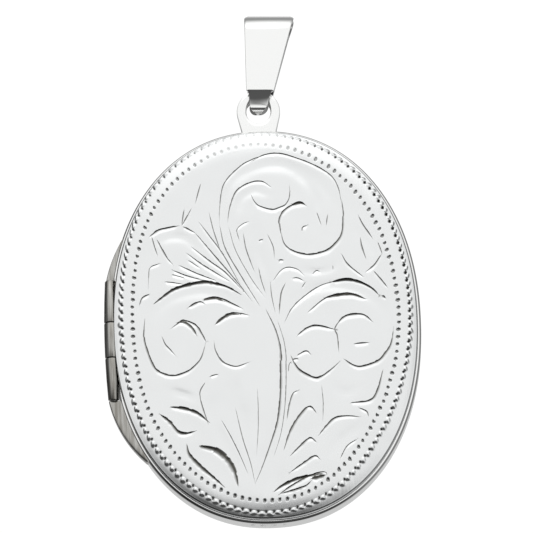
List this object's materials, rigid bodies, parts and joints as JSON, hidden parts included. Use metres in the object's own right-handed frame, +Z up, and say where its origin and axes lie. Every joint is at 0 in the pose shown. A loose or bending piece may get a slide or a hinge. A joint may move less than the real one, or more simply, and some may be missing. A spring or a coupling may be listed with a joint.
{
  "type": "oval locket",
  "caption": "Oval engraved locket with a side-hinged cover, snap rim, two photo frames with clear windows, and a tapered bail on a fixed loop.",
  "frame": {"origin": "middle of the bail's chain opening, where a chain holds the locket", "axes": "+Z up along the hanging case, +X to the wearer's left (the viewer's right), the engraved cover faces -Y"},
  "size_m": [0.0313, 0.0044, 0.0514],
  "materials": {
    "polished_silver": "polished",
    "engraved_silver": "polished, hand engraved",
    "inner_silver": "bright",
    "pin_steel": "drawn wire",
    "clear_acetate": "clear",
    "card": "matt paper card"
  },
  "bodies": {
    "bail": {"bail": "polished_silver"},
    "rear_case": {"suspension_loop": "polished_silver", "rear_cover": "polished_silver", "snap_rim": "inner_silver", "hinge_bearer_rear": "polished_silver", "hinge_knuckle_upper": "polished_silver", "hinge_knuckle_lower": "polished_silver", "hinge_pin": "pin_steel", "photo_frame_rear": "inner_silver", "photo_window_rear": "clear_acetate", "photo_card_rear": "card"},
    "front_case": {"front_cover": "engraved_silver", "hinge_bearer_front": "inner_silver", "hinge_knuckle_middle": "polished_silver", "photo_frame_front": "inner_silver", "photo_window_front": "clear_acetate", "photo_card_front": "card"}
  },
  "joints": [
    {"name": "case_swing", "type": "hinge", "parent": "bail", "child": "rear_case", "pos_m": [-0.00094, 0, -0.00632], "axis": [0.9994, 0, -0.0349], "range_deg": [-60, 60]},
    {"name": "cover_hinge", "type": "hinge", "parent": "rear_case", "child": "front_case", "pos_m": [-0.01625, -0.0008, -0.03062], "axis": [0, 0, -1], "range_deg": [0, 165]}
  ]
}
